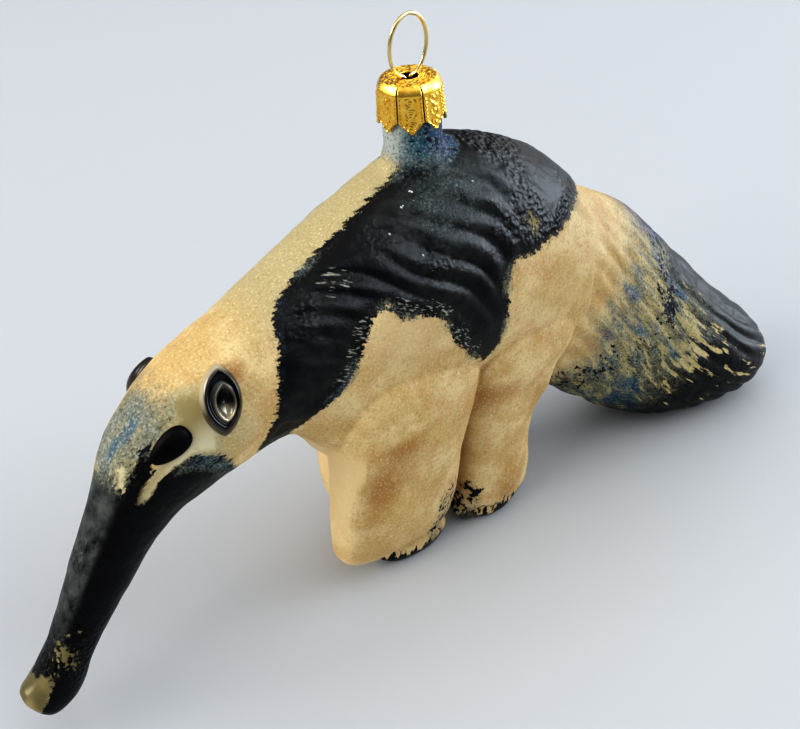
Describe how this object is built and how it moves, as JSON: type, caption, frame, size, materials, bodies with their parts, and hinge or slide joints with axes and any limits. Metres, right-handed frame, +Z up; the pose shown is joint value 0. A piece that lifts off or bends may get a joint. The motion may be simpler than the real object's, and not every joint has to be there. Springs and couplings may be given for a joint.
{
  "type": "blown glass anteater ornament",
  "caption": "Hollow blown glass tree ornament in the shape of a walking giant anteater, hand painted in cream and black, with a gold crown cap and wire loop.",
  "frame": {"origin": "on the ground, under the middle of the overall box", "axes": "+X from the head towards the tail, +Y towards the animal's right flank, +Z up"},
  "size_m": [0.1706, 0.0384, 0.0973],
  "materials": {
    "cream_lacquer": "cream lacquer with a frosty grain over silvered glass",
    "black_lacquer": "satin black lacquer over silvered glass",
    "silvered_glass": "clear glass silvered on the inside, bright",
    "black_enamel": "glossy black enamel",
    "gold_metal": "bright gold, pressed with a fine pattern"
  },
  "bodies": {
    "root": {"snout": "black_lacquer", "head": "cream_lacquer", "neck": "cream_lacquer", "torso": "black_lacquer", "tail": "black_lacquer", "front_leg_left": "cream_lacquer", "front_leg_right": "cream_lacquer", "hind_leg_left": "cream_lacquer", "hind_leg_right": "cream_lacquer", "front_foot_left": "cream_lacquer", "front_foot_right": "cream_lacquer", "hind_foot_left": "cream_lacquer", "hind_foot_right": "cream_lacquer", "ear_left": "silvered_glass", "ear_right": "silvered_glass", "eye_left": "black_enamel", "eye_right": "black_enamel", "glass_pike": "cream_lacquer", "crown_cap": "gold_metal", "hanger_wire": "gold_metal"}
  },
  "joints": []
}
